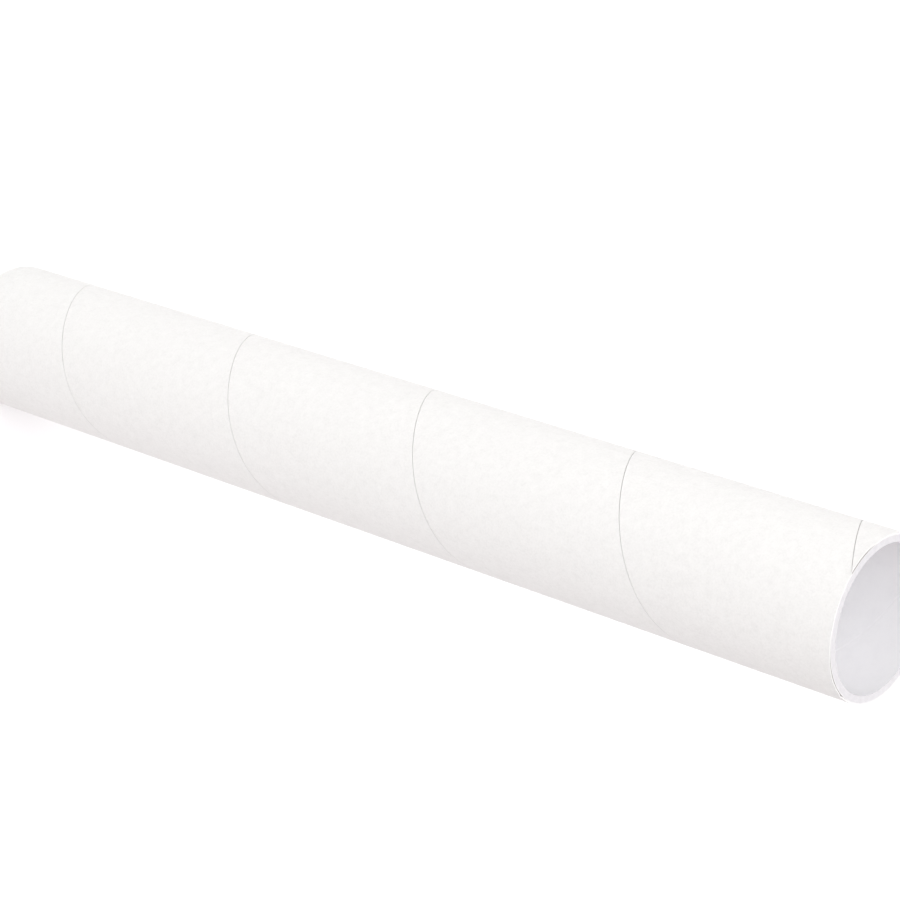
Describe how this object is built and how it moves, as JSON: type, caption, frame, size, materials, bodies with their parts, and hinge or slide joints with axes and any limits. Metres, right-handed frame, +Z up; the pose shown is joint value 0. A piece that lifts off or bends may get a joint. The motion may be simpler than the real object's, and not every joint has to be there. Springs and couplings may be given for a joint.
{
  "type": "cardboard mailing tube",
  "caption": "Straight spiral-wound cardboard tube with a white paper skin, open and cut square at both ends, for posting rolled papers.",
  "frame": {"origin": "centre of the lower cut end, where the tube stands on a surface", "axes": "+Z up the tube's axis towards the upper open end; +X towards the point where the outer seam meets the upper end"},
  "size_m": [0.056, 0.056, 0.41],
  "materials": {
    "white_board": "matte warm-white paper skin over glued board, with a fine seam winding round it"
  },
  "bodies": {
    "root": {"tube": "white_board"}
  },
  "joints": []
}
